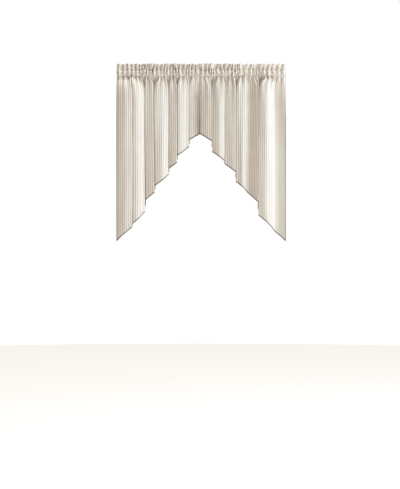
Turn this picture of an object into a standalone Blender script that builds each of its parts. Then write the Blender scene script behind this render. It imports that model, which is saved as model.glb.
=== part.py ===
"""Swag and tail drape for a window, hung gathered on a rod.

Two panels of ticking stripe cotton meet at the centre. Each has a ruffled header above a rod
pocket, and a hem that is short at the centre and falls to a long tail at the outer edge.
Metres, +Z up, front facing -Y, origin at the middle of the header's top edge.
"""

import math

import bmesh
import bpy
import numpy as np

# Cut sizes of one panel
CLOTH_WIDTH = 0.762
CLOTH_THICKNESS = 0.0012
HEADER_DROP = 0.035        # ruffle above the upper stitch line
POCKET_DROP = 0.027        # between the two stitch lines
CENTRE_LENGTH = 0.358      # top edge to hem at the centre
HEM_SLOPE = 0.60           # drop of the hem for each metre of cloth going outward
HEM_CURVE = 0.17           # extra drop for each square metre, which gives the tail its sweep

# Hung sizes
LEFT_WIDTH = 0.4272
RIGHT_WIDTH = 0.4427
CENTRE_CLEARANCE = 0.0013  # from the middle of the window to each panel's inner edge
SEAM_CLEARANCE = 0.0004    # kept clear on each side of the seam under a heading

# Gathers on the rod
GATHERS = 24
LONG_WAVES, LONG_UNEVENNESS = 2.6, 0.006
SHORT_WAVES, SHORT_UNEVENNESS = 6.3, 0.004
STEEPEST_GATHER = 1.6      # strength at which the gathers would stand at their steepest
GATHER_TRACE = 0.14        # share of a gather that lasts far down
GATHER_TRACE_FADE = 0.15
MOST_GATHERED = 1.4        # most that the gathers may be stretched below the heading
BUNCHING = 0.65            # how far the gathers are bunched up over the shut folds below them
BUNCHING_SPAN = 0.026      # cloth over which they are
FEWEST_LEFT = 0.28         # hung width left of the cloth where it is bunched the most
MOST_LEFT = 0.93           # and where it is bunched the least

# Rod pocket
LAYER_OFFSET = 0.0008      # from the middle of the heading to each of its two layers
POCKET_BULGE = 0.0125
POCKET_SQUARENESS = 4.0
POCKET_STATIONS = (0.1, 0.5, 0.9)
HEADING_TOP = -0.0005

# Mesh density
COLUMNS_PER_GATHER = 4     # in the headings
WIDEST_COLUMN = 0.0092     # in the swags, whose columns also stand on every turn of a fold
APEX_COLUMN = 0.0030       # from the inmost line of a shut fold to the columns beside it
NEAR_ROWS = (0.0, 0.008, 0.017, 0.026, 0.036, 0.049, 0.07)   # depths
FAR_ROWS = (0.3, 0.62, 1.0)   # shares of the way from there to the hem
PATH_SAMPLES = 1525
PATH_LEVELS = 49
GATHER_SAMPLES = 400
GATHER_CURVE = 200
STEEPEST_CURVE = 2.3       # radians
SOLVING_STEPS = 40
WELD_DISTANCE = 0.00002

# Folds
FREE_TURN = 0.016          # cloth used up in turning from one face of a fold to the next
SHUT_TURN = 0.007          # the same beside a shut face
SHUT_FROM = 88.0           # degrees, a face steeper than this is shut up inside a fold
SHUT_BY = 1.0              # strength at which the shut faces have closed
FOLD_SETTLE = 0.55         # depth at which the folds reach their full shape
STRONGEST_FOLD = 1.6       # most that the directions below may be stretched
FOLD_START = 0.030         # depth at which two thirds of a fold has grown out of the gathers
SLIDE_DEPTH = 0.10         # depth down to which shut folds run straight from the heading
PRESSED_DEPTH = 0.025      # depth at which the shut faces have lost their gathers
STEEPEST_FREE = 86.0       # degrees, the most a face that shows may turn, gathers and all
SHUT_SOFTNESS = 1.0        # radians over which a face counts as more and more shut

# Each row is one face of a fold, from the centre outward: width of cloth in mm, direction in
# degrees along the hem (positive runs back, negative comes forward) and the share of that
# direction taken just under the heading.
RIGHT_FOLDS = (
    (8, -50, 1.0),
    (33, -20, 1.0),
    (26, -6, 1.0),
    (43, 91, 1.0),
    (43, -91, 1.0),
    (20, -26, 0.8),
    (18, -22, 0.8),
    (12, 15, 1.0),
    (22, 38, 0.6),
    (12, 95, 1.0),
    (12, -95, 1.0),
    (14, -10, 1.0),
    (24, -15, 1.0),
    (20, -9, 1.0),
    (36, 91.5, 1.0),
    (36, -91.5, 1.0),
    (14, -8, 1.0),
    (18, -34, 0.5),
    (14, 20, 0.5),
    (33, 52, 0.5),
    (60, -37, 1.0),
    (43, 91, 1.0),
    (43, -91, 1.0),
    (31, -8, 1.0),
    (14, 20, 1.0),
    (31, 52, 1.1),
    (25, 38, 1.2),
    (57, -13, 1.0),
)
LEFT_FOLDS = (
    (8, 60, 1.0),
    (14, 8, 1.0),
    (30, -12, 1.0),
    (30, 91.5, 1.0),
    (30, -91.5, 1.0),
    (16, -32, 0.8),
    (26, -51, 0.8),
    (16, -22, 1.0),
    (13, 4, 1.0),
    (28, 91.5, 1.0),
    (28, -91.5, 1.0),
    (22, 10, 1.0),
    (20, 28, 0.4),
    (22, 91, 1.0),
    (22, -91, 1.0),
    (31, -52, 0.6),
    (12, -30, 0.5),
    (38, -8, 1.0),
    (24, 92, 1.0),
    (24, -92, 1.0),
    (24, 10, 1.0),
    (24, 22, 0.5),
    (39, 91, 1.0),
    (39, -91, 1.0),
    (44, -52, 1.1),
    (16, -22, 1.1),
    (18, 4, 1.0),
    (10, 96, 1.0),
    (10, -96, 1.0),
    (36, -8, 1.0),
    (32, 14, 1.0),
    (16, 28, 1.0),
)

PANELS = (
    {"name": "left", "side": -1.0, "width": LEFT_WIDTH, "folds": LEFT_FOLDS},
    {"name": "right", "side": 1.0, "width": RIGHT_WIDTH, "folds": RIGHT_FOLDS},
)

CLOTH_COLOUR = (0.69, 0.60, 0.50, 1.0)
HEADING_COLOUR = (0.63, 0.54, 0.44, 1.0)
CLOTH_ROUGHNESS = 0.85


def ease(x):
    """Smooth step from 0 to 1."""
    x = np.clip(x, 0.0, 1.0)
    return x * x * (3.0 - 2.0 * x)


def gather_count(share):
    """Gathers passed at a share of the cloth's width, a little unevenly."""
    fade = np.sin(np.pi * share)
    uneven = LONG_UNEVENNESS * np.sin(2.0 * np.pi * LONG_WAVES * share)
    uneven = uneven + SHORT_UNEVENNESS * np.sin(2.0 * np.pi * SHORT_WAVES * share)
    return GATHERS * (share + uneven * fade)


def is_shut(direction):
    """Whether a face is shut up inside a fold."""
    return abs(direction) > SHUT_FROM


def fold_directions(folds, cloth, depth, shut):
    """Direction of the shut or of the free faces along the cloth, at one depth."""
    settled = min(depth / FOLD_SETTLE, 1.0)
    faces = []
    for _, direction, share in folds:
        wanted = is_shut(direction) == shut
        faces.append(math.radians(direction) * (share + (1.0 - share) * settled) * wanted)
    turn_width = SHUT_TURN if shut else FREE_TURN
    turns = np.cumsum([width / 1000.0 for width, _, _ in folds])
    directions = np.full_like(cloth, faces[0])
    for turn, before, after in zip(turns, faces, faces[1:]):
        directions += (after - before) * ease((cloth - turn) / turn_width + 0.5)
    return directions


def width_left(steepness):
    """Share of its width that cloth keeps in even gathers of this steepness, in radians."""
    angles = np.linspace(0.0, 2.0 * np.pi, GATHER_SAMPLES, endpoint=False)
    return np.cos(steepness * np.sin(angles)).mean()


def smoothed(values, step, span):
    """Values along the cloth, averaged over a span and mirrored at both ends."""
    reach = int(4.0 * span / step)
    weights = np.exp(-0.5 * (np.arange(-reach, reach + 1) * step / span) ** 2)
    padded = np.concatenate((values[reach:0:-1], values, values[-2:-reach - 2:-1]))
    return np.convolve(padded, weights / weights.sum(), mode="valid")


def gather_steepness(panel, cloth):
    """Steepness of the gathers along the cloth, more where the folds below are tight."""
    folds = panel["folds"]
    faces = fold_directions(folds, cloth, FOLD_SETTLE, False)
    faces = faces + fold_directions(folds, cloth, FOLD_SETTLE, True)
    below = smoothed(np.cos(faces), cloth[1] - cloth[0], BUNCHING_SPAN)
    left = panel["width"] / CLOTH_WIDTH + BUNCHING * (below - below.mean())
    steepness = np.linspace(0.0, STEEPEST_CURVE, GATHER_CURVE)
    lefts = np.array([width_left(value) for value in steepness])
    return np.interp(-np.clip(left, FEWEST_LEFT, MOST_LEFT), -lefts, steepness)


def solve_strength(spread, wanted, highest):
    """Strength at which a spread, which shrinks as strength grows, has the wanted width."""
    low, high = 0.0, highest
    for _ in range(SOLVING_STEPS):
        middle = 0.5 * (low + high)
        if spread(middle) > wanted:
            low = middle
        else:
            high = middle
    return 0.5 * (low + high)


def spread(directions, step):
    """Width that a line with these directions takes up."""
    return np.cos(0.5 * (directions[1:] + directions[:-1])).sum() * step


def line_points(directions, step):
    """Plan line that follows these directions: how far out and how far back it runs."""
    middles = 0.5 * (directions[1:] + directions[:-1])
    out = np.concatenate(([0.0], np.cumsum(np.cos(middles)) * step))
    back = np.concatenate(([0.0], np.cumsum(np.sin(middles)) * step))
    return np.array((out, back - back.mean()))


def gathered_line(panel, cloth):
    """Directions of a panel along its heading."""
    wave = -np.sin(2.0 * np.pi * gather_count(cloth / CLOTH_WIDTH))
    wave = wave * gather_steepness(panel, cloth)
    full = solve_strength(
        lambda s: spread(s * wave, cloth[1]), panel["width"], STEEPEST_GATHER
    )
    return full * wave


def folded_line(panel, cloth, depth):
    """Directions of a panel at one depth under the heading."""
    trace = GATHER_TRACE * math.exp(-depth / GATHER_TRACE_FADE)
    free = fold_directions(panel["folds"], cloth, depth, False)
    shut = fold_directions(panel["folds"], cloth, depth, True)
    pressed = ease(np.abs(shut) / SHUT_SOFTNESS) * ease(depth / PRESSED_DEPTH)
    gathers = gathered_line(panel, cloth) * (1.0 - pressed)
    steepest = math.radians(STEEPEST_FREE)

    def hung(strength, left):
        shown = np.clip(left * gathers + strength * free, -steepest, steepest)
        return shown + min(strength / SHUT_BY, 1.0) * shut

    def width(strength, left):
        return spread(hung(strength, left), cloth[1])

    strength = solve_strength(lambda s: width(s, trace), panel["width"], STRONGEST_FOLD)
    strength *= 1.0 - math.exp(-depth / FOLD_START)
    left = solve_strength(lambda s: width(strength, s), panel["width"], MOST_GATHERED)
    return hung(strength, left)


def shut_turns(folds):
    """Cloth position of the inmost line of each shut fold."""
    turns = np.cumsum([width / 1000.0 for width, _, _ in folds])
    pairs = zip(turns, folds, folds[1:])
    return [turn for turn, one, other in pairs if is_shut(one[1]) and is_shut(other[1])]


def hang_line(panel, depth):
    """Plan line of a panel at one depth under the heading, at even steps of cloth."""
    cloth = np.linspace(0.0, CLOTH_WIDTH, PATH_SAMPLES)
    line = line_points(folded_line(panel, cloth, depth), cloth[1])
    if depth >= SLIDE_DEPTH:
        return line
    top = line_points(gathered_line(panel, cloth), cloth[1])
    low = line_points(folded_line(panel, cloth, SLIDE_DEPTH), cloth[1])
    marks = [0.0] + shut_turns(panel["folds"]) + [CLOTH_WIDTH]
    here, above, below = (np.interp(marks, cloth, points[0]) for points in (line, top, low))
    slide = above + (below - above) * ease(depth / SLIDE_DEPTH) - here
    line[0] += np.interp(line[0], here, slide)
    return line


def heading_columns():
    """Cloth position of each column, set on the crests, valleys and flanks of the gathers."""
    count = GATHERS * COLUMNS_PER_GATHER
    fine = np.linspace(0.0, 1.0, PATH_SAMPLES)
    return np.interp(np.linspace(0.0, GATHERS, count + 1), gather_count(fine), fine) * CLOTH_WIDTH


def swag_columns(folds):
    """Cloth position of each column, set on the turns of the folds and evenly in between."""
    fixed = [0.0, CLOTH_WIDTH]
    turn = 0.0
    for (width, before, _), (_, after, _) in zip(folds, folds[1:]):
        turn += width / 1000.0
        fixed.append(turn)
        if is_shut(before) and is_shut(after):
            fixed.extend((turn - APEX_COLUMN, turn + APEX_COLUMN))
    fixed.sort()
    columns = []
    for start, end in zip(fixed, fixed[1:]):
        pieces = math.ceil((end - start) / WIDEST_COLUMN)
        columns.extend(np.linspace(start, end, pieces, endpoint=False))
    return np.array(columns + [CLOTH_WIDTH])


def swag_length(cloth):
    """Length of a panel under its heading."""
    under = CENTRE_LENGTH - HEADER_DROP - POCKET_DROP
    return under + HEM_SLOPE * cloth + HEM_CURVE * cloth**2


def swag_points(panel):
    """Rows of points, from the heading down to the hem, for every column."""
    columns = swag_columns(panel["folds"])
    samples = np.linspace(0.0, CLOTH_WIDTH, PATH_SAMPLES)
    depths = np.linspace(0.0, 1.0, PATH_LEVELS) ** 2 * swag_length(CLOTH_WIDTH)
    lines = [hang_line(panel, depth) for depth in depths]
    outs = np.array([np.interp(columns, samples, line[0]) for line in lines])
    backs = np.array([np.interp(columns, samples, line[1]) for line in lines])
    lengths = swag_length(columns)
    near = NEAR_ROWS[-1]
    all_drops = [np.full_like(columns, drop) for drop in NEAR_ROWS]
    all_drops += [near + share * (lengths - near) for share in FAR_ROWS]
    rows = []
    for drops in all_drops:
        out = [np.interp(d, depths, outs[:, c]) for c, d in enumerate(drops)]
        back = [np.interp(d, depths, backs[:, c]) for c, d in enumerate(drops)]
        heights = -HEADER_DROP - POCKET_DROP - np.maximum(drops, SEAM_CLEARANCE)
        rows.append(place(panel, out, back, heights))
    return rows


def heading_section():
    """Closed section of the heading: height, side of the rod (-1 front, 1 back) and bulge."""
    lower = -HEADER_DROP - POCKET_DROP + SEAM_CLEARANCE + 0.5 * CLOTH_THICKNESS
    front = [(HEADING_TOP, -1, 0.0), (-HEADER_DROP, -1, 0.0)]
    for station in POCKET_STATIONS:
        off_middle = abs(2.0 * station - 1.0) ** POCKET_SQUARENESS
        bulge = POCKET_BULGE * (1.0 - off_middle) ** (1.0 / POCKET_SQUARENESS)
        front.append((-HEADER_DROP - station * POCKET_DROP, -1, bulge))
    front.append((lower, -1, 0.0))
    return front + [(height, 1, bulge) for height, _, bulge in reversed(front)]


def heading_points(panel):
    """Ring of rows of points around the heading, closed by repeating the first."""
    columns = heading_columns()
    samples = np.linspace(0.0, CLOTH_WIDTH, PATH_SAMPLES)
    out, back = (np.interp(columns, samples, line) for line in hang_line(panel, 0.0))
    directions = np.arctan2(np.gradient(back), np.gradient(out))
    rows = []
    for height, side, bulge in heading_section():
        row_out = out - side * LAYER_OFFSET * np.sin(directions)
        row_back = back + side * (LAYER_OFFSET * np.cos(directions) + bulge)
        rows.append(place(panel, row_out, row_back, np.full(len(columns), height)))
    return rows + [rows[0]]


def place(panel, out, back, height):
    """Points of one row in the drape's own frame."""
    across = panel["side"] * (CENTRE_CLEARANCE + np.asarray(out))
    return np.stack((across, np.asarray(back), height), axis=1)


def add_cloth(name, rows, colour, collection):
    """One thin closed body of cloth over a grid of rows."""
    across = len(rows[0]) - 1
    down = len(rows) - 1
    shape = bmesh.new()
    bmesh.ops.create_grid(shape, x_segments=across, y_segments=down, size=0.5)
    for vert in shape.verts:
        column = round((vert.co.x + 0.5) * across)
        row = round((0.5 - vert.co.y) * down)
        vert.co = rows[row][column]
    bmesh.ops.remove_doubles(shape, verts=shape.verts, dist=WELD_DISTANCE)
    bmesh.ops.triangulate(shape, faces=shape.faces)
    bmesh.ops.recalc_face_normals(shape, faces=shape.faces)
    mesh = bpy.data.meshes.new(name)
    shape.to_mesh(mesh)
    shape.free()
    material = bpy.data.materials.new(name + "_cloth")
    material.use_nodes = True
    surface = material.node_tree.nodes["Principled BSDF"]
    surface.inputs["Base Color"].default_value = colour
    surface.inputs["Roughness"].default_value = CLOTH_ROUGHNESS
    surface.inputs["Metallic"].default_value = 0.0
    material.diffuse_color = colour
    mesh.materials.append(material)
    body = bpy.data.objects.new(name, mesh)
    collection.objects.link(body)
    thickness = body.modifiers.new("Thickness", "SOLIDIFY")
    thickness.thickness = CLOTH_THICKNESS
    thickness.offset = 0.0
    return body


def main():
    for old in list(bpy.data.objects):
        bpy.data.objects.remove(old, do_unlink=True)
    collection = bpy.data.collections.new("swag_and_tail_drape")
    bpy.context.scene.collection.children.link(collection)
    for panel in PANELS:
        heading = panel["name"] + "_heading"
        swag = panel["name"] + "_swag"
        add_cloth(heading, heading_points(panel), HEADING_COLOUR, collection)
        add_cloth(swag, swag_points(panel), CLOTH_COLOUR, collection)


main()
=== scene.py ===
import math

import bpy
import numpy as np
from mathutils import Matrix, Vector, noise


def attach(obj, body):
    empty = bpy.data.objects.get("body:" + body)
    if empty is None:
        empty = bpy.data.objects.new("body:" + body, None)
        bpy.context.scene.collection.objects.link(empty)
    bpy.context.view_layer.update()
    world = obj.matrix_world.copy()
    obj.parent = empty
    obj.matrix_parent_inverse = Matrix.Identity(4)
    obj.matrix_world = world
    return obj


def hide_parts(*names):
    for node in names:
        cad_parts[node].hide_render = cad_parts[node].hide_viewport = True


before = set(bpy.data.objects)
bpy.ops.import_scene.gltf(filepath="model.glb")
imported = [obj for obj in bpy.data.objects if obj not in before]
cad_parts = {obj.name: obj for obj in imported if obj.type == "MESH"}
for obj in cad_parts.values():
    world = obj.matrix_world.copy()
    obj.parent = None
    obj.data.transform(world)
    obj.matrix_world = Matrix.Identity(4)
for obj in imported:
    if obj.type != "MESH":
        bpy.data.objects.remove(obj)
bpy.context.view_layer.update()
print("drape: frame loaded")

# the cut of one panel, in metres
clothCut = {
    "width": 0.762,
    "thickness": 0.0005,
    "headerDrop": 0.035,      # ruffle above the upper stitch line
    "pocketDrop": 0.027,      # between the two stitch lines
    "centreLength": 0.358,    # top edge to hem at the centre
    "hemSlope": 0.60,         # fall of the hem for each metre of cloth, at the centre
    "hemCurve": 0.17,         # how it grows steeper outward
    "sideHem": 0.013,
    "bottomHem": 0.012,
    "sideHemRun": 0.62,       # mean length of the two side hems under the heading
    "bottomHemRun": 0.97,     # length of the bottom hem along its slope
    "turnUnder": 0.005,       # the back layer runs this far past the lower stitch line
    "centreClearance": 0.0009,
}
upperSeam = -clothCut["headerDrop"]
lowerSeam = upperSeam - clothCut["pocketDrop"]

meshDensity = {
    "columns": 256,           # between the side hems
    "hemColumns": 4,          # in each side hem
    "columnSamples": 4001,
    "crowding": 1.6,          # how much closer the columns stand where a fold turns square
    "mostTurn": 1.5,          # sharpest turn that counts, in right angles
    "crowdReach": 0.004,
    "swagRows": 104,
    "rowPower": 1.22,         # over 1, rows stand closer together under the heading
    "hemRows": (0.3, 0.6, 0.85, 1.0),   # down the bottom hem, in shares of it
    "underRows": (1.0, 0.5),            # up the turned-under edge, in shares of it
    "pocketRows": 11,
    "headerRows": 10,
    "topRows": 5,
    "ruffleLevels": 9,
    "pathSamples": 1525,
    "pathLevels": 64,
    "gatherSizes": 200,
    "gatherSamples": 400,
    "halvings": 40,
}

# size, pace and start of the three sines that make an uneven wave, and its height
waveParts = ((1.0, 1.0, 0.0), (0.6, 1.73, 1.9), (0.4, 2.9, 0.7))
waveHeight = 1.6


def ease(x):
    x = np.clip(x, 0.0, 1.0)
    return x * x * (3.0 - 2.0 * x)


def bump(distance, reach):
    # 1 at no distance, dying away on both sides
    return np.exp(-((distance / reach) ** 2))


def unit(vectors):
    return vectors / np.linalg.norm(vectors, axis=-1, keepdims=True)


def waver(panel, share, wave):
    # an uneven wave between about -1 and 1, the same each run; wave is its count and its start
    waves, start = wave
    angle = 2.0 * np.pi * (waves * share + panel["wander"] + start)
    return sum(size * np.sin(pace * angle + begin) for size, pace, begin in waveParts) / waveHeight


def swagLength(cloth):
    # lower stitch line to hem
    slant = clothCut["hemSlope"] * cloth + clothCut["hemCurve"] * cloth**2
    return clothCut["centreLength"] + lowerSeam + slant


def swagArea():
    width = clothCut["width"]
    slant = clothCut["hemSlope"] * width**2 / 2.0 + clothCut["hemCurve"] * width**3 / 3.0
    return swagLength(0.0) * width + slant


def hemLean(cloth):
    # fall of the hem for each metre of cloth
    return clothCut["hemSlope"] + 2.0 * clothCut["hemCurve"] * cloth


folds = {
    "turn": 0.016,            # cloth used up in turning from one face to the next
    "shutTurn": 0.0045,       # the same in folds that are pressed shut
    "settle": 0.55,           # depth at which every face has its full direction
    "shut": 88.0,             # faces steeper than this press together and don't swing
    "start": 0.030,           # depth at which two thirds of the swing have grown
    "closing": 0.013,         # the same for the faces pressed shut
    "topReach": 0.010,        # how far back a closed fold reaches just under the heading
    "slide": 0.10,            # depth down to which the closed folds run straight from the heading
    "pressDepth": 0.045,      # gathers are pressed out of the closed folds by here
    "steepest": 86.0,         # most that a face in sight may turn
    "strongest": 1.6,         # most that the faces may swing past their own directions
}

# Each row is one face of a fold, from the centre outward: width of cloth in mm, direction in
# degrees along the hem (positive runs back, negative comes forward) and the share of that
# direction taken just under the heading.
leftFolds = (
    (8, 30, 0.6), (14, -5, 1.0), (30, -14, 1.0), (30, 91.5, 1.0), (30, -91.5, 1.0),
    (16, -32, 0.8), (26, -51, 0.8), (16, -22, 1.0), (13, 4, 1.0), (28, 91.5, 1.0),
    (28, -91.5, 1.0), (22, 10, 1.0), (20, 28, 0.4), (22, 91, 1.0), (22, -91, 1.0),
    (31, -52, 0.6), (12, -30, 0.5), (38, 8, -1.2), (24, 92, 1.0), (24, -92, 1.0),
    (24, 10, 1.0), (24, 22, 0.5), (39, 91, 1.0), (39, -91, 1.0), (44, -52, 1.1),
    (16, -22, 1.1), (18, 4, 1.0), (10, 96, 1.0), (10, -96, 1.0), (36, -8, 1.0),
    (32, 14, 1.0), (16, 28, 1.0),
)
rightFolds = (
    (8, -50, 1.0), (33, -20, 1.0), (26, -6, 1.0), (43, 91, 1.0), (43, -91, 1.0),
    (20, -26, 0.8), (18, -22, 0.8), (12, 15, 1.0), (22, 38, 0.6), (12, 95, 1.0),
    (12, -95, 1.0), (14, -10, 1.0), (24, -15, 1.0), (20, -9, 1.0), (36, 91.5, 1.0),
    (36, -91.5, 1.0), (14, -8, 1.0), (18, -34, -0.3), (14, 20, 1.4), (33, 52, 0.8),
    (60, -37, 1.0), (43, 91, 1.0), (43, -91, 1.0), (31, -12, 1.0), (14, 5, 4.0),
    (31, 34, 1.6), (25, 52, 0.85), (20, 6, -1.5), (37, -14, 1.0),
)

# side is the way out from the centre, width the hung width, wander the start of its uneven waves
panels = (
    {"name": "left", "side": -1.0, "width": 0.4272, "folds": leftFolds, "wander": 0.31},
    {"name": "right", "side": 1.0, "width": 0.4427, "folds": rightFolds, "wander": 0.74},
)


def faceEnds(panel):
    # cloth position where each face ends
    return np.cumsum([width / 1000.0 for width, direction, share in panel["folds"]])


def foldDirections(panel, cloth, depth, shut):
    # direction along the hem of the faces pressed shut, or of all the others
    settled = min(depth / folds["settle"], 1.0)
    faces = [
        math.radians(direction) * (share + (1.0 - share) * settled)
        if (abs(direction) > folds["shut"]) == shut else 0.0
        for width, direction, share in panel["folds"]
    ]
    reach = folds["shutTurn"] if shut else folds["turn"]
    directions = np.full_like(cloth, faces[0])
    for end, before, after in zip(faceEnds(panel), faces, faces[1:]):
        directions += (after - before) * ease((cloth - end) / reach + 0.5)
    return directions


def shutTurns(panel):
    # cloth position of the inmost line of each closed fold
    pairs = zip(faceEnds(panel), panel["folds"], panel["folds"][1:])
    return [end for end, one, other in pairs if min(abs(one[1]), abs(other[1])) > folds["shut"]]


gathers = {
    "count": 24,
    "unevenness": ((2.6, 0.006), (6.3, 0.004)),    # of their spacing: waves and size
    "steepest": 1.6,          # most a gather may grow over the size its folds ask for
    "longest": 3.0,           # most it may be kept up under the heading
    "widestTurn": 2.3,        # most the cloth may turn in a gather, in radians
    "bunching": 0.65,         # how far gathers crowd where the folds under them use more cloth
    "bunchSpan": 0.026,
    "bunchReach": 4.0,        # spans on each side that count
    "leastLeft": 0.28,        # least share of its width that gathered cloth may keep
    "mostLeft": 0.93,
    "fade": 0.052,            # depth over which the gathers come to differ
    "fadeUnevenness": 0.35,
    "fadeWave": (6.7, 0.2),
    "trace": 0.24,            # share that lasts further down
    "traceFade": 0.10,
    "ruffleLean": 0.30,       # how far a gather wanders up the header, in gathers
    "leanWave": (5.3, 0.0),
    "ruffleUnevenness": 0.38,    # how much the gathers come to differ there
    "ruffleWave": (8.1, 0.4),
    "frill": 0.75,            # smaller folds between the gathers at the header's free edge
    "frillCount": 1.62,
    "frillWave": (3.9, 0.7),
}


def gatherCount(share):
    # how many gathers lie between the centre and here, a little unevenly
    uneven = sum(
        size * np.sin(2.0 * np.pi * waves * share) for waves, size in gathers["unevenness"]
    )
    return gathers["count"] * (share + uneven * np.sin(np.pi * share))


def gatherSize(panel):
    # how far the cloth turns in each gather, so that it takes up what the folds below use
    cloth = np.linspace(0.0, clothCut["width"], meshDensity["pathSamples"])
    settled = [foldDirections(panel, cloth, folds["settle"], shut) for shut in (False, True)]
    left = np.cos(settled[0] + settled[1])
    reach = int(gathers["bunchReach"] * gathers["bunchSpan"] / cloth[1])
    bell = np.exp(-0.5 * (np.arange(-reach, reach + 1) * cloth[1] / gathers["bunchSpan"]) ** 2)
    mirrored = np.concatenate((left[reach:0:-1], left, left[-2:-reach - 2:-1]))
    left = np.convolve(mirrored, bell / bell.sum(), mode="valid")
    left = panel["width"] / clothCut["width"] + gathers["bunching"] * (left - left.mean())
    left = np.clip(left, gathers["leastLeft"], gathers["mostLeft"])
    sizes = np.linspace(0.0, gathers["widestTurn"], meshDensity["gatherSizes"])
    swing = np.sin(np.linspace(0.0, 2.0 * np.pi, meshDensity["gatherSamples"], endpoint=False))
    leftBySize = np.cos(sizes[:, None] * swing).mean(axis=1)
    return np.interp(-left, -leftBySize, sizes)


def gatherWave(panel, share, ruffle):
    # turning of the cloth to and fro in the gathers; the ruffled header wanders from the seam's
    lean = gathers["ruffleLean"] * waver(panel, share, gathers["leanWave"]) * ruffle
    turns = gatherCount(share) + lean * np.sin(np.pi * share)
    uneven = gathers["ruffleUnevenness"] * waver(panel, share, gathers["ruffleWave"])
    frill = gathers["frill"] * ruffle * waver(panel, share, gathers["frillWave"])
    frill = frill * np.sin(2.0 * np.pi * gathers["frillCount"] * turns)
    return (frill - np.sin(2.0 * np.pi * turns) * (1.0 + uneven * ruffle)) * panel["gathered"]


def lineWidth(directions):
    # width of a plan line with these directions
    step = clothCut["width"] / (meshDensity["pathSamples"] - 1)
    return np.cos(0.5 * (directions[1:] + directions[:-1])).sum() * step


def planLine(directions):
    # the line itself seen from above, as far out and as far back; the cloth doesn't stretch
    step = clothCut["width"] / (meshDensity["pathSamples"] - 1)
    middles = 0.5 * (directions[1:] + directions[:-1])
    out = np.concatenate(([0.0], np.cumsum(np.cos(middles)) * step))
    back = np.concatenate(([0.0], np.cumsum(np.sin(middles)) * step))
    return np.array((out, back - back.mean()))


def solveStrength(widthAt, wanted, highest):
    # strength at which the line is as wide as wanted, by halving
    low, high = 0.0, highest
    for halving in range(meshDensity["halvings"]):
        middle = 0.5 * (low + high)
        if widthAt(middle) > wanted:
            low = middle
        else:
            high = middle
    return 0.5 * (low + high)


def gatheredLine(panel, share, ruffle):
    # directions of the gathers alone, as steep as the hung width asks for
    wave = gatherWave(panel, share, ruffle)
    return wave * solveStrength(lambda s: lineWidth(s * wave), panel["width"], gathers["steepest"])


def foldedLine(panel, share, depth):
    # directions at one depth: gathers that die away and folds that grow until the width is right
    cloth = share * clothCut["width"]
    uneven = gathers["fadeUnevenness"] * waver(panel, share, gathers["fadeWave"])
    lasting = gatheredLine(panel, share, 0.0) * np.exp(uneven * min(depth / gathers["fade"], 1.0))
    trace = gathers["trace"] * math.exp(-depth / gathers["traceFade"])
    free, shut = [foldDirections(panel, cloth, depth, closed) for closed in (False, True)]
    lasting = lasting * (1.0 - ease(np.abs(shut)) * ease(depth / folds["pressDepth"]))
    steep = math.radians(folds["steepest"])

    def swung(strength, closed, kept):
        return np.clip(kept * lasting + strength * free, -steep, steep) + min(closed, 1.0) * shut

    full = solveStrength(
        lambda s: lineWidth(swung(s, s, trace)), panel["width"], folds["strongest"]
    )
    strength = full * (1.0 - math.exp(-depth / folds["start"]))
    closed = min(full, 1.0) * (1.0 - math.exp(-depth / folds["closing"]))
    kept = solveStrength(
        lambda k: lineWidth(swung(strength, closed, k)), panel["width"], gathers["longest"]
    )
    return swung(strength, closed, kept)


def hangLine(panel, depth):
    # plan line at one depth under the heading, slid so that each closed fold runs straight down
    share = np.linspace(0.0, 1.0, meshDensity["pathSamples"])
    line = planLine(foldedLine(panel, share, depth))
    if depth >= folds["slide"]:
        return line
    top = planLine(gatheredLine(panel, share, 0.0))
    low = planLine(foldedLine(panel, share, folds["slide"]))
    marks = np.array([0.0] + shutTurns(panel) + [clothCut["width"]]) / clothCut["width"]
    here, above, below = [np.interp(marks, share, points[0]) for points in (line, top, low)]
    slide = above + (below - above) * ease(depth / folds["slide"]) - here
    line[0] += np.interp(line[0], here, slide)
    reach = folds["topReach"] / (1.0 - depth / folds["slide"])
    line[1] = np.where(line[1] > 0.0, reach * np.tanh(line[1] / reach), line[1])
    return line


def clothColumns(panel):
    # cloth position of each column, closer together in the side hems and where a fold turns
    width, hemWidth = clothCut["width"], clothCut["sideHem"]
    hem = np.linspace(0.0, hemWidth, meshDensity["hemColumns"] + 1)
    inner = np.linspace(hemWidth, width - hemWidth, meshDensity["columnSamples"])
    crowd = np.ones_like(inner)
    for end, before, after in zip(faceEnds(panel), panel["folds"], panel["folds"][1:]):
        turn = min(abs(after[1] - before[1]) / 90.0, meshDensity["mostTurn"])
        crowd += meshDensity["crowding"] * turn * bump(inner - end, meshDensity["crowdReach"])
    reached = np.concatenate(([0.0], np.cumsum(0.5 * (crowd[1:] + crowd[:-1]))))
    inner = np.interp(np.linspace(0.0, reached[-1], meshDensity["columns"]), reached, inner)
    return np.concatenate((hem[:-1], inner, width - hem[-2::-1]))


def atColumns(lines, columns):
    # how far out and how far back the columns stand on each plan line
    samples = np.linspace(0.0, clothCut["width"], meshDensity["pathSamples"])
    return [np.array([np.interp(columns, samples, line[k]) for line in lines]) for k in (0, 1)]


def atLevels(wanted, levels, values):
    # the values of each column at the level wanted for it
    wanted = np.broadcast_to(wanted, values.shape[1])
    return np.array([np.interp(w, levels, values[:, c]) for c, w in enumerate(wanted)])


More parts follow.
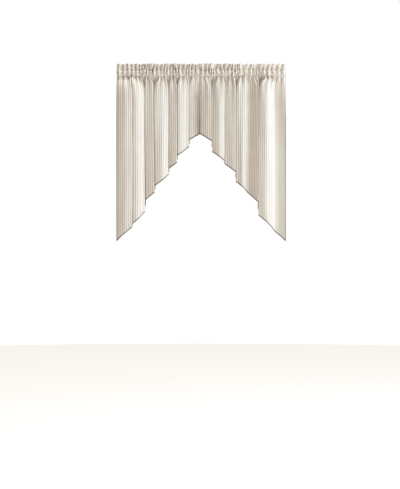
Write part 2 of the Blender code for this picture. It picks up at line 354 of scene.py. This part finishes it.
pocket = {
    "layerOffset": 0.0008,    # from the middle of the heading to each of its layers
    "offsetFade": 0.014,      # depth over which the swag leaves the front layer's place
    "endOffset": 0.0007,      # more of it where the side hems are turned in
    "endReach": 1.6,          # how far in that starts, in side hems
    "endFade": 0.008,
    "bulge": 0.0125,          # how far each layer stands out round the rod's place
    "squareness": 2.6,        # 2 is a round pocket, more is squarer
    "top": -0.0005,           # where the header's layers turn over into each other
    "dimple": 0.0042,         # how far the gathers pull the stitch lines up and down
    "dimpleReach": 0.008,
    "dimpleBack": 0.004,      # cloth this far back or forward is pulled in full
    "dimpleShare": 0.6,       # mean of the pull, and how much it differs along the seam
    "dimpleUnevenness": 0.5, "dimpleWave": (9.4, 0.5),
    "edge": 0.0022,           # unevenness of the header's free edge
    "edgeWave": (11.0, 0.0),
}

crush = {
    "height": 0.0032,
    "wide": 0.0105,
    "tall": 0.014,
    "drawn": 3.0,             # how much longer the creases are under the heading
    "slant": 30.0,            # lean of the creases in the header
    "fade": 0.030,            # depth under the heading over which they die away
    "seamMore": 0.8,          # how much stronger they are by the lower stitch line
    "seamAbove": 0.006,
    "seamReach": 0.009,
    "apart": 20.0,            # keeps the panels' creases from looking alike
}


def headingStations():
    # up the back layer, over the top and down the front: height, side (1 back, -1 front),
    # bulge and ruffle
    power = 2.0 / pocket["squareness"]
    stations = []
    for angle in np.linspace(math.pi, 0.0, meshDensity["pocketRows"] + 2):
        across = math.copysign(abs(math.cos(angle)) ** power, math.cos(angle))
        bulge = pocket["bulge"] * abs(math.sin(angle)) ** power
        stations.append((upperSeam - clothCut["pocketDrop"] * (0.5 - 0.5 * across), bulge, 0.0))
    for share in np.linspace(0.0, 1.0, meshDensity["headerRows"] + 1)[1:]:
        stations.append((upperSeam * (1.0 - share) + pocket["top"] * share, 0.0, share))
    rows = [(height, 1.0, bulge, ruffle) for height, bulge, ruffle in stations]
    for angle in np.linspace(0.0, math.pi, meshDensity["topRows"] + 2)[1:-1]:
        rise = pocket["layerOffset"] * math.sin(angle)
        rows.append((pocket["top"] + rise, math.cos(angle), 0.0, 1.0))
    return rows + [(height, -1.0, bulge, ruffle) for height, bulge, ruffle in stations[::-1]]


def headingRows(panel, columns):
    # finished rows of the heading, from the back layer's lower edge to the lower stitch line
    share = columns / clothCut["width"]
    fromEnd = np.minimum(columns, clothCut["width"] - columns)
    nearEnd = ease((clothCut["sideHem"] * pocket["endReach"] - fromEnd) / pocket["endFade"])
    offset = pocket["layerOffset"] + pocket["endOffset"] * nearEnd
    levels = np.linspace(0.0, 1.0, meshDensity["ruffleLevels"])
    shares = np.linspace(0.0, 1.0, meshDensity["pathSamples"])
    lines = [planLine(gatheredLine(panel, shares, level)) for level in levels]
    outs, backs = atColumns(lines, columns)
    under = [lowerSeam - part * clothCut["turnUnder"] for part in meshDensity["underRows"]]
    stations = [(height, 1.0, pocket["layerOffset"], 0.0) for height in under] + headingStations()
    rows = []
    for row, (height, side, bulge, ruffle) in enumerate(stations):
        if row < len(under):
            # the turned-under edge lies on the back of the swag
            line = hangLine(panel, lowerSeam - height)
            (out,), (back,) = atColumns([line], columns)
        else:
            out, back = atLevels(ruffle, levels, outs), atLevels(ruffle, levels, backs)
        directions = np.arctan2(np.gradient(back), np.gradient(out))
        lift = pocket["edge"] * ruffle**2 * waver(panel, share, pocket["edgeWave"])
        lift = lift + dimples(panel, columns, height, back)
        push = side * offset + creases(panel, columns, height, ruffle)
        rowOut = out - push * np.sin(directions)
        rowBack = back + push * np.cos(directions) + side * bulge
        rows.append(placeRow(panel, rowOut, rowBack, height + lift))
    return rows


def dimples(panel, columns, height, back):
    # pull of the gathers on the cloth near a stitch line
    reach, share = pocket["dimpleReach"], columns / clothCut["width"]
    near = bump(height - upperSeam, reach) + bump(height - lowerSeam, reach)
    uneven = pocket["dimpleUnevenness"] * waver(panel, share, pocket["dimpleWave"])
    pull = near * (pocket["dimpleShare"] + uneven)
    return -pocket["dimple"] * pull * np.clip(back / pocket["dimpleBack"], -1.0, 1.0)


def creases(panel, columns, height, ruffle):
    # small creases of the shirring, drawn out downward under it
    heights = np.broadcast_to(height, columns.shape)
    drops = np.clip(lowerSeam - heights, 0.0, None)
    down = (np.maximum(heights, lowerSeam) - drops / crush["drawn"]) / crush["tall"]
    across = columns / crush["wide"] + crush["slant"] * ruffle * heights
    near = bump(heights - lowerSeam - crush["seamAbove"], crush["seamReach"])
    size = crush["height"] * (np.exp(-drops / crush["fade"]) + crush["seamMore"] * near)
    apart = crush["apart"] * panel["wander"]
    return size * np.array([noise.noise((a, d, apart)) for a, d in zip(across, down)])


def placeRow(panel, out, back, height):
    # points of one row, out from the centre to the panel's own side
    across = panel["side"] * (clothCut["centreClearance"] + out)
    return np.stack((across, back, height), axis=1)


# slow waves that keep the faces from lying dead flat, and small ones along the hem
sag = {
    "size": 0.0014,
    "grown": 0.12,            # depth at which they have their full size
    "waves": (                # how each runs down and across, then its count and start
        (1.0 / 0.9, 0.35, (3.1, 0.0)),
        (-0.2, 1.0, (4.3, 0.6)),
    ),
    "pucker": 0.00035,
    "puckerReach": 0.011,
    "puckerPitch": 0.021,
}


def sagging(panel, columns, drop):
    share = columns / clothCut["width"]
    size = sag["size"] * ease(drop / sag["grown"])
    waves = sum(
        waver(panel, down * drop + across * share, wave) for down, across, wave in sag["waves"]
    )
    nearHem = bump(swagLength(columns) - drop, sag["puckerReach"])
    pucker = waver(panel, columns / sag["puckerPitch"], (1.0, 0.0))
    return size * waves + sag["pucker"] * nearHem * pucker


def swagRows(panel, columns):
    # finished rows from the lower stitch line to the hem's edge, and the depth of each point
    depths = np.linspace(0.0, 1.0, meshDensity["pathLevels"]) ** 2 * swagLength(clothCut["width"])
    outs, backs = atColumns([hangLine(panel, depth) for depth in depths], columns)
    length = swagLength(columns)
    hem = clothCut["bottomHem"] * np.sqrt(1.0 + hemLean(columns) ** 2)
    steps = np.arange(1, meshDensity["swagRows"] + 1) / meshDensity["swagRows"]
    drops = [(length - hem) * step ** meshDensity["rowPower"] for step in steps]
    drops += [length - hem * (1.0 - step) for step in meshDensity["hemRows"]]
    rows = []
    for drop in drops:
        out, back = atLevels(drop, depths, outs), atLevels(drop, depths, backs)
        back = back + sagging(panel, columns, drop)
        height = lowerSeam - drop
        lift = dimples(panel, columns, height, back)
        crease = creases(panel, columns, height, 0.0)
        directions = np.arctan2(np.gradient(back), np.gradient(out))
        out = out - crease * np.sin(directions)
        back = back + crease * np.cos(directions)
        back = back - pocket["layerOffset"] * bump(drop, pocket["offsetFade"])
        rows.append(placeRow(panel, out, back, height + lift))
    return rows, np.array(drops)


def panelGrid(panel):
    # base grid of the finished cloth with its face normals and flat positions in metres
    columns = clothColumns(panel)
    heading = headingRows(panel, columns)
    swag, drops = swagRows(panel, columns)
    points = np.array(heading + swag)
    downStep, outStep = np.gradient(points, axis=0), np.gradient(points, axis=1)
    normals = unit(-panel["side"] * np.cross(outStep, downStep))
    steps = np.linalg.norm(np.diff(points[:len(heading)], axis=0), axis=2).mean(axis=1)
    headingFlat = np.concatenate(([0.0], np.cumsum(steps)))
    flatAcross = np.tile(columns, (len(points), 1))
    flatDown = np.concatenate((
        np.tile(headingFlat[:, None], (1, len(columns))), headingFlat[-1] + drops
    ))
    return {
        "columns": columns, "points": points, "normals": normals,
        "flat": np.stack((flatAcross, flatDown), axis=2), "headingRows": len(heading),
    }


hems = {
    "gap": 0.0009,            # middle of the cloth to the middle of its turned-over hem
    "sideTuck": 0.62,         # share of the gap left at a side hem's raw edge
    "bottomTuck": 0.75,       # the same at the bottom hem's
    "cornerReach": 1.5,       # how far in the bottom hem starts to pass the side hem, in side hems
    "cornerFade": 0.006,
    "cornerBehind": 3.0,      # gaps from the cloth to the bottom hem at the corners
    "sideBehind": 2.0,        # the same on the side hems
    "turnBehind": 2.5,        # and on the side hems' turns
    "underTuck": 0.7,         # share of the gap at the back layer's edge, turned in once
    "underFlat": (0.0035, 0.0010, 0.0004),    # cloth taken by that edge's three rows
}


def hemmedColumns(count):
    # each column of the cloth with its side hems: its column in the base grid, how many gaps it
    # lies behind that, the hem it is in (-1 centre, 1 outer) and the turn it stands on
    rawEdge = meshDensity["hemColumns"]
    centre = [(rawEdge, hems["sideTuck"], -1, 0)]
    centre += [(c, 1.0, -1, 0) for c in reversed(range(rawEdge))] + [(0, 0.5, 0, -1)]
    main = [(c, 0.0, 0, 0) for c in range(count)]
    outer = [(count - 1 - c, behind, -side, -turn) for c, behind, side, turn in reversed(centre)]
    return [np.array(part) for part in zip(*(centre + main + outer))]


def turnSideHems(grid):
    # base grid with the side hems turned over behind it
    points, gap = grid["points"], hems["gap"]
    source, behind, side, turn = hemmedColumns(points.shape[1])
    normals = grid["normals"][:, source]
    wide = points[:, source] - gap * behind[:, None] * normals
    flat = grid["flat"][:, source]
    flat[:, side < 0, 0] *= -1.0
    flat[:, side > 0, 0] = 2.0 * clothCut["width"] - flat[:, side > 0, 0]
    for way, edge, inward in ((-1, 0, 1), (1, -1, -2)):
        outward = unit(points[:, edge] - points[:, inward])
        wide[:, turn == way] += 0.5 * gap * outward[:, None]
        flat[:, turn == way, 0] += way * 0.5 * gap
    return wide, normals, flat


def turnBottomHem(grid, wide, normals, flat):
    # rows of the bottom hem, from its turn up to its raw edge
    source, behind, side, turn = hemmedColumns(grid["points"].shape[1])
    fromSide = np.minimum(grid["columns"], clothCut["width"] - grid["columns"])
    corner = ease((clothCut["sideHem"] * hems["cornerReach"] - fromSide) / hems["cornerFade"])
    wanted = (1.0 + (hems["cornerBehind"] - 1.0) * corner)[source]
    wanted[side != 0] = hems["sideBehind"]
    wanted[turn != 0] = hems["turnBehind"]
    space = hems["gap"] * (wanted - behind)[:, None]
    lean = hemLean(grid["columns"])[source]
    mirror = np.where(side == 0, 2.0, -2.0) * lean / (1.0 + lean**2)
    down = unit(wide[-1] - wide[-2])
    hemPoints = [wide[-1] + 0.5 * space * (down - normals[-1])]
    hemFlat = [flat[-1] + 0.5 * space * [0.0, 1.0]]
    last = len(meshDensity["hemRows"]) + 1
    for row in range(1, last + 1):
        tuck = hems["bottomTuck"] if row == last else 1.0
        hemPoints.append(wide[-row] - tuck * space * normals[-row])
        rise = flat[-1, :, 1] - flat[-row, :, 1]
        across = flat[-row, :, 0] - rise * mirror
        fall = flat[-row, :, 1] + 2.0 * rise / (1.0 + lean**2)
        hemFlat.append(np.stack((across, fall), axis=1))
    return hemPoints, hemFlat


def turnUnderEdge(wide, normals, flat):
    # lower edge of the back layer, turned in once
    space = hems["gap"] * hems["underTuck"]
    past = unit(wide[0] - wide[1])
    edge = [
        wide[1] - space * normals[1],
        wide[0] - space * normals[0],
        wide[0] + 0.5 * space * (past - normals[0]),
    ]
    return edge, [flat[0] - [0.0, distance] for distance in hems["underFlat"]]


def turnHems(grid):
    # points and flat positions of the whole cloth, with all its edges turned over behind it
    wide, normals, flat = turnSideHems(grid)
    hemPoints, hemFlat = turnBottomHem(grid, wide, normals, flat)
    underPoints, underFlat = turnUnderEdge(wide, normals, flat)
    return (
        np.concatenate((np.array(underPoints), wide, np.array(hemPoints))),
        np.concatenate((np.array(underFlat), flat, np.array(hemFlat))),
    )


def addObject(name, data):
    piece = bpy.data.objects.new(name, data)
    bpy.context.scene.collection.objects.link(piece)
    return piece


def plainMaterial(name, colour, roughness):
    material = bpy.data.materials.new(name)
    material.use_nodes = True
    surface = material.node_tree.nodes["Principled BSDF"]
    surface.inputs["Base Color"].default_value = colour
    surface.inputs["Roughness"].default_value = roughness
    return material


def clothPiece(panel, grid, cotton):
    points, flat = turnHems(grid)
    name = panel["name"] + "_panel"
    rows, columns = points.shape[:2]
    index = np.arange(rows * columns).reshape(rows, columns)
    corners = (index[:-1, :-1], index[1:, :-1], index[1:, 1:], index[:-1, 1:])
    if panel["side"] < 0.0:
        corners = corners[::-1]
    quads = np.stack([corner.ravel() for corner in corners], axis=1)
    mesh = bpy.data.meshes.new(name)
    mesh.from_pydata(points.reshape(-1, 3).tolist(), [], quads.tolist())
    lay = mesh.uv_layers.new(name="clothMetres")
    loops = np.empty(len(mesh.loops), dtype=np.int32)
    mesh.loops.foreach_get("vertex_index", loops)
    lay.data.foreach_set("uv", flat.reshape(-1, 2)[loops].astype(np.float32).ravel())
    mesh.shade_smooth()
    mesh.materials.append(cotton)
    piece = addObject(name, mesh)
    body = piece.modifiers.new("Cloth", "SOLIDIFY")
    body.thickness = clothCut["thickness"]
    body.offset = 0.0
    return piece


# finish of the cotton; lengths in metres of cloth
ticking = {
    "stripePitch": 0.0105,
    "stripeWidth": 0.0048,
    "stripeEdge": 0.0003,
    "stripeShift": 100.25,    # in stripes, enough to keep the count above nought in the hems
    "stripeColour": (0.575, 0.46, 0.345, 1.0),
    "stripeSlub": (0.64, 0.53, 0.42, 1.0),
    "groundColour": (0.85, 0.82, 0.77, 1.0),
    "groundSlub": (0.81, 0.775, 0.72, 1.0),
    "slubScale": 900.0, "slubDetail": 2.0,
    "slubStretch": 0.02,      # a slub is drawn out along its yarn
    "weftShow": 0.16,         # how much ground colour the weft lays over the stripes
    "cloudScale": 14.0, "cloudDetail": 3.0,
    "cloudDepth": 0.10,       # slow unevenness of the tone
    # painted shade along the hem and the side edges, standing in for their shadow
    "edgeShadeColour": (0.20, 0.16, 0.11, 1.0),
    "edgeShadeWidth": 0.0048,      # width of the painted shade along the hem and side edges
    "edgeShadeSoft": 0.0004,
    "hemSquare": 0.80,        # distance square to the hem, for each metre straight down
    "sideEdgeShade": 0.75,         # how dark the painted shade is on the sides against the hem
    "sideEdgeShadeFrom": 0.22,     # above the centre's hem, where the painted shade on the sides starts
    "sideEdgeShadeFull": 0.07,     # and where they have their full tone
    "yarnPitch": 0.00045,
    "slubHeight": 0.8,        # of a slub, in heights of the weave
    "weaveBump": 0.35,
    "weaveHeight": 0.00012,
    "roughness": 0.86,
    "specular": 0.25,
    "sheen": 0.18,
    "sheenRoughness": 0.45,
}


def setOrLink(tree, socket, value):
    # a constant is set on the socket, anything else is linked to it
    if isinstance(value, (int, float, tuple)):
        socket.default_value = value
    else:
        tree.links.new(value, socket)


def addMath(tree, operation, *values):
    node = tree.nodes.new("ShaderNodeMath")
    node.operation = operation
    for socket, value in zip(node.inputs, values):
        setOrLink(tree, socket, value)
    return node.outputs[0]


def addMix(tree, share, first, second):
    node = tree.nodes.new("ShaderNodeMix")
    node.data_type = "RGBA"
    for place, value in ((0, share), (6, first), (7, second)):
        setOrLink(tree, node.inputs[place], value)
    return node.outputs[2]


def addNoise(tree, place, scale, detail, stretch=(1.0, 1.0, 1.0)):
    mapping = tree.nodes.new("ShaderNodeMapping")
    mapping.inputs["Scale"].default_value = stretch
    tree.links.new(place, mapping.inputs["Vector"])
    cloud = tree.nodes.new("ShaderNodeTexNoise")
    cloud.inputs["Scale"].default_value = scale
    cloud.inputs["Detail"].default_value = detail
    tree.links.new(mapping.outputs[0], cloud.inputs["Vector"])
    return cloud.outputs["Fac"]


def addRamp(tree, value, start, end, top=1.0, shape="SMOOTHSTEP"):
    # from 0 where the value is at the start to the top where it is at the end
    node = tree.nodes.new("ShaderNodeMapRange")
    node.interpolation_type = shape
    node.inputs["From Min"].default_value = start
    node.inputs["From Max"].default_value = end
    node.inputs["To Max"].default_value = top
    tree.links.new(value, node.inputs["Value"])
    return node.outputs["Result"]


def addStripes(tree, across):
    # 1 on the stripes along the warp, 0 on the ground between them
    half = 0.5 * ticking["stripeWidth"] / ticking["stripePitch"]
    soft = 0.5 * ticking["stripeEdge"] / ticking["stripePitch"]
    count = addMath(tree, "DIVIDE", across, ticking["stripePitch"])
    within = addMath(tree, "FRACT", addMath(tree, "ADD", count, ticking["stripeShift"]))
    offMiddle = addMath(tree, "ABSOLUTE", addMath(tree, "SUBTRACT", within, 0.5))
    return addRamp(tree, offMiddle, half + soft, half - soft)


def addPaintedEdgeShade(tree, across, down, hemTop):
    # 1 on the painted shade along the edges, which stands in for the shadow of the turned hem and
    # of the split between the panels, by the distance to the hem, to the centre and to the outer
    # side
    band = (ticking["edgeShadeWidth"] + ticking["edgeShadeSoft"], ticking["edgeShadeWidth"] - ticking["edgeShadeSoft"])
    hemFall = addMath(tree, "MULTIPLY_ADD", across, clothCut["hemCurve"], clothCut["hemSlope"])
    hemDown = addMath(tree, "MULTIPLY_ADD", across, hemFall, hemTop)
    below = addMath(tree, "SUBTRACT", hemDown, down)
    toHem = addMath(tree, "ABSOLUTE", addMath(tree, "MULTIPLY", below, ticking["hemSquare"]))
    toOuter = addMath(tree, "ABSOLUTE", addMath(tree, "SUBTRACT", clothCut["width"], across))
    toSide = addMath(tree, "MINIMUM", toOuter, addMath(tree, "ABSOLUTE", across))
    start, full = hemTop - ticking["sideEdgeShadeFrom"], hemTop - ticking["sideEdgeShadeFull"]
    # the painted shade on the sides fades out upward toward the heading
    shadeFade = addRamp(tree, down, start, full, ticking["sideEdgeShade"], "LINEAR")
    side = addMath(tree, "MULTIPLY", addRamp(tree, toSide, *band), shadeFade)
    return addMath(tree, "MAXIMUM", addRamp(tree, toHem, *band), side)


def addWeave(tree, across, down, slub):
    # plain weave: warp and weft yarns cross over and under
    turn = math.pi / ticking["yarnPitch"]
    warp = addMath(tree, "SINE", addMath(tree, "MULTIPLY", across, turn))
    weft = addMath(tree, "SINE", addMath(tree, "MULTIPLY", down, turn))
    weave = addMath(tree, "ABSOLUTE", addMath(tree, "MULTIPLY", warp, weft))
    relief = tree.nodes.new("ShaderNodeBump")
    relief.inputs["Strength"].default_value = ticking["weaveBump"]
    relief.inputs["Distance"].default_value = ticking["weaveHeight"]
    height = addMath(tree, "MULTIPLY_ADD", slub, ticking["slubHeight"], weave)
    tree.links.new(height, relief.inputs["Height"])
    return relief.outputs[0]


def tickingCotton(name, hemTop):
    # hemTop is how far down the flat cloth the hem is at the centre
    material = plainMaterial(name, ticking["groundColour"], ticking["roughness"])
    tree = material.node_tree
    surface = tree.nodes["Principled BSDF"]
    surface.inputs["Sheen Weight"].default_value = ticking["sheen"]
    surface.inputs["Sheen Roughness"].default_value = ticking["sheenRoughness"]
    surface.inputs["Specular IOR Level"].default_value = ticking["specular"]
    place = tree.nodes.new("ShaderNodeUVMap")
    place.uv_map = "clothMetres"
    split = tree.nodes.new("ShaderNodeSeparateXYZ")
    tree.links.new(place.outputs[0], split.inputs[0])
    across, down = split.outputs[0], split.outputs[1]
    yarns = (ticking["slubScale"], ticking["slubDetail"])
    warpSlub = addNoise(tree, place.outputs[0], *yarns, (1.0, ticking["slubStretch"], 1.0))
    weftSlub = addNoise(tree, place.outputs[0], *yarns, (ticking["slubStretch"], 1.0, 1.0))
    ground = addMix(tree, warpSlub, ticking["groundColour"], ticking["groundSlub"])
    dyed = addMix(tree, warpSlub, ticking["stripeColour"], ticking["stripeSlub"])
    colour = addMix(tree, addStripes(tree, across), ground, dyed)
    weft = addMath(tree, "MULTIPLY", weftSlub, ticking["weftShow"])
    colour = addMix(tree, weft, colour, ticking["groundColour"])
    # painted shade along the hem and side edges
    paintedShade = addPaintedEdgeShade(tree, across, down, hemTop)
    colour = addMix(tree, paintedShade, colour, ticking["edgeShadeColour"])
    cloudy = addNoise(tree, place.outputs[0], ticking["cloudScale"], ticking["cloudDetail"])
    lowest = 1.0 - 0.5 * ticking["cloudDepth"]
    tone = addMath(tree, "MULTIPLY_ADD", cloudy, ticking["cloudDepth"], lowest)
    toned = tree.nodes.new("ShaderNodeVectorMath")
    toned.operation = "SCALE"
    tree.links.new(colour, toned.inputs[0])
    tree.links.new(tone, toned.inputs["Scale"])
    tree.links.new(toned.outputs[0], surface.inputs["Base Color"])
    slub = addMath(tree, "ADD", warpSlub, weftSlub)
    tree.links.new(addWeave(tree, across, down, slub), surface.inputs["Normal"])
    return material


thread = {
    "radius": 0.00017,
    "length": 0.0024,
    "pitch": 0.0032,
    "first": 0.002,           # from the end of a run to its first stitch
    "last": 0.004,            # no stitch starts closer to the other end
    "hemMargin": 0.0105,      # hem's edge to its stitch line
    "sides": 5,
    # a stitch's rings: share along it, size and rise in thread radii
    "rings": ((0.0, 0.35, -0.3), (0.2, 0.9, 0.65), (0.8, 0.9, 0.65), (1.0, 0.35, -0.3)),
    "colour": (0.80, 0.73, 0.63, 1.0),
    "roughness": 0.6,
}


def stitchRings(start, end, normal):
    # points of one stitch's rings, one after the other
    run = end - start
    beside = np.cross(unit(run), normal)
    rings = []
    for share, size, rise in thread["rings"]:
        centre = start + run * share + normal * thread["radius"] * rise
        for turn in 2.0 * np.pi * np.arange(thread["sides"]) / thread["sides"]:
            spoke = beside * math.cos(turn) + normal * math.sin(turn)
            rings.append(tuple(centre + spoke * thread["radius"] * size))
    return rings


def atPlace(place, along, values):
    # point or normal at one place along a run
    return np.array([np.interp(place, along, values[:, k]) for k in range(3)])


def stitchPiece(name, runs, threads):
    # runs are lists of points with the cloth's outward normal at each; one small tube a stitch
    verts, faces = [], []
    sides, ringCount = thread["sides"], len(thread["rings"])
    for points, normals in runs:
        steps = np.linalg.norm(np.diff(points, axis=0), axis=1)
        along = np.concatenate(([0.0], np.cumsum(steps)))
        for place in np.arange(thread["first"], along[-1] - thread["last"], thread["pitch"]):
            first = len(verts)
            start, end = [
                atPlace(here, along, points) for here in (place, place + thread["length"])
            ]
            verts += stitchRings(start, end, unit(atPlace(place, along, normals)))
            for low in range(first, first + (ringCount - 1) * sides, sides):
                for k in range(sides):
                    after = (k + 1) % sides
                    faces.append((low + k, low + after, low + sides + after, low + sides + k))
            faces.append(tuple(reversed(range(first, first + sides))))
            faces.append(tuple(range(len(verts) - sides, len(verts))))
    mesh = bpy.data.meshes.new(name)
    mesh.from_pydata(verts, [], faces)
    mesh.shade_smooth()
    mesh.materials.append(threads)
    return addObject(name, mesh)


def stitchRuns(grid):
    # seams of the heading and the lines that hold the hems, each seen on both sides of the cloth
    points, normals, columns = grid["points"], grid["normals"], grid["columns"]
    skin = 0.5 * clothCut["thickness"]
    lowest, last = len(meshDensity["underRows"]), grid["headingRows"] - 1
    pocketSteps = meshDensity["pocketRows"] + 1
    seams = (lowest, lowest + pocketSteps, last - pocketSteps, last)
    runs = [(points[row] + skin * normals[row], normals[row]) for row in seams]
    hemRows = meshDensity["hemRows"]
    above = -len(hemRows) - 1
    lines = []
    for place in (thread["hemMargin"], clothCut["width"] - thread["hemMargin"]):
        after = np.searchsorted(columns, place)
        share = (place - columns[after - 1]) / (columns[after] - columns[after - 1])
        line = points[:, after - 1] * (1.0 - share) + points[:, after] * share
        lines.append((line[last:above + 1], normals[last:above + 1, after]))
    share = (1.0 - thread["hemMargin"] / clothCut["bottomHem"]) / hemRows[0]
    line = points[above] * (1.0 - share) + points[above + 1] * share
    inset = meshDensity["hemColumns"] - 1
    lines.append((line[inset:-inset], normals[above][inset:-inset]))
    for line, facing in lines:
        runs.append((line + skin * facing, facing))
        runs.append((line - (skin + hems["gap"]) * facing, -facing))
    return runs


def sewPanel(panel, threads):
    panel["gathered"] = gatherSize(panel)
    grid = panelGrid(panel)
    headingCut = grid["flat"][grid["headingRows"] - 1, 0, 1]
    cotton = tickingCotton(panel["name"] + "_cotton", headingCut + swagLength(0.0))
    piece = clothPiece(panel, grid, cotton)
    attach(piece, "root")
    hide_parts(panel["name"] + "_heading", panel["name"] + "_swag")
    stitching = stitchPiece(panel["name"] + "_stitching", stitchRuns(grid), threads)
    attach(stitching, "root")
    wide = clothCut["width"] + 2.0 * clothCut["sideHem"]
    longest = headingCut + swagLength(clothCut["width"]) + 2.0 * clothCut["bottomHem"]
    area = headingCut * wide + swagArea()
    area += 2.0 * clothCut["sideHem"] * clothCut["sideHemRun"]
    area += clothCut["bottomHem"] * clothCut["bottomHemRun"]
    flat = [round(measure, 3) for measure in (wide, longest, area)]
    print("drape: stitching faces", len(stitching.data.polygons))
    print("drape:", piece.name, "flat", flat[0], "x", flat[1], "area", flat[2])


threads = plainMaterial("thread", thread["colour"], thread["roughness"])
for panel in panels:
    sewPanel(panel, threads)


studio = {
    "floorHeight": -2.1,
    "floorRadius": 9.0,
    "floorSides": 64,
    "floorColour": (0.93, 0.935, 0.95, 1.0),
    "floorRoughness": 0.9,
    "keyPower": 246.0,
    "keyColour": (0.75, 0.91, 1.05),
    "keyAngle": 64.0,         # round to the right from the camera, in degrees
    "keyRise": 18.0,
    "keyDistance": 5.0,
    "keySize": 4.0,
    "keyAim": (0.0, 0.0, -0.35),
    "ambient": 0.32,
    "ambientColour": (1.0, 0.83, 0.60, 1.0),
    "overhead": 2.2,          # light straight down, for the floor
    "overheadAngle": 20.0,    # how wide its disc is, in degrees
    "overheadHeight": 3.0,
    "backdrop": (1.0, 1.0, 1.0, 1.0),
    "lens": 100.0,
    "clipEnd": 60.0,
    "metresPerPixel": 0.00516,
    "imageWidth": 400, "imageHeight": 489,
    "originAcross": 199.8,    # place of the frame's origin in the image, in pixels
    "originDown": 63.9,
}


def makeFloor():
    radius, sides = studio["floorRadius"], studio["floorSides"]
    angles = 2.0 * np.pi * np.arange(sides) / sides
    ring = [(radius * math.cos(angle), radius * math.sin(angle), 0.0) for angle in angles]
    mesh = bpy.data.meshes.new("floor")
    mesh.from_pydata(ring, [], [tuple(range(sides))])
    colour, roughness = studio["floorColour"], studio["floorRoughness"]
    mesh.materials.append(plainMaterial("pale_floor", colour, roughness))
    floor = addObject("floor", mesh)
    floor.location.z = studio["floorHeight"]


def makeWorld():
    # warm light from all round, and a white backdrop where the camera looks past the floor
    world = bpy.data.worlds.new("studio")
    bpy.context.scene.world = world
    world.use_nodes = True
    tree = world.node_tree
    seen = tree.nodes["Background"]
    seen.inputs["Color"].default_value = studio["backdrop"]
    light = tree.nodes.new("ShaderNodeBackground")
    light.inputs["Color"].default_value = studio["ambientColour"]
    light.inputs["Strength"].default_value = studio["ambient"]
    path = tree.nodes.new("ShaderNodeLightPath")
    mix = tree.nodes.new("ShaderNodeMixShader")
    tree.links.new(path.outputs["Is Camera Ray"], mix.inputs[0])
    tree.links.new(light.outputs[0], mix.inputs[1])
    tree.links.new(seen.outputs[0], mix.inputs[2])
    tree.links.new(mix.outputs[0], tree.nodes["World Output"].inputs["Surface"])


def makeLights():
    turn, rise = math.radians(studio["keyAngle"]), math.radians(studio["keyRise"])
    level = math.cos(rise)
    toLight = Vector((math.sin(turn) * level, -math.cos(turn) * level, math.sin(rise)))
    lamp = bpy.data.lights.new("key", "AREA")
    lamp.energy = studio["keyPower"]
    lamp.size = studio["keySize"]
    lamp.color = studio["keyColour"]
    key = addObject("key", lamp)
    key.location = Vector(studio["keyAim"]) + toLight * studio["keyDistance"]
    key.rotation_mode = "QUATERNION"
    key.rotation_quaternion = toLight.to_track_quat("Z", "Y")
    sun = bpy.data.lights.new("overhead", "SUN")
    sun.energy = studio["overhead"]
    sun.angle = math.radians(studio["overheadAngle"])
    addObject("overhead", sun).location.z = studio["overheadHeight"]


def makeCamera():
    # straight in front, with the frame's origin at its place in the image
    scale = studio["metresPerPixel"]
    across = (0.5 * studio["imageWidth"] - studio["originAcross"]) * scale
    height = -(0.5 * studio["imageHeight"] - studio["originDown"]) * scale
    lens = bpy.data.cameras.new("camera")
    lens.lens = studio["lens"]
    lens.clip_end = studio["clipEnd"]
    distance = studio["imageHeight"] * scale * lens.lens / lens.sensor_width
    camera = addObject("camera", lens)
    camera.location = (across, -distance, height)
    camera.rotation_euler = (math.radians(90.0), 0.0, 0.0)
    bpy.context.scene.camera = camera


makeFloor()
makeWorld()
makeLights()
makeCamera()
bpy.context.scene.view_settings.view_transform = "Standard"
print("drape: stage set")

bpy.context.view_layer.update()
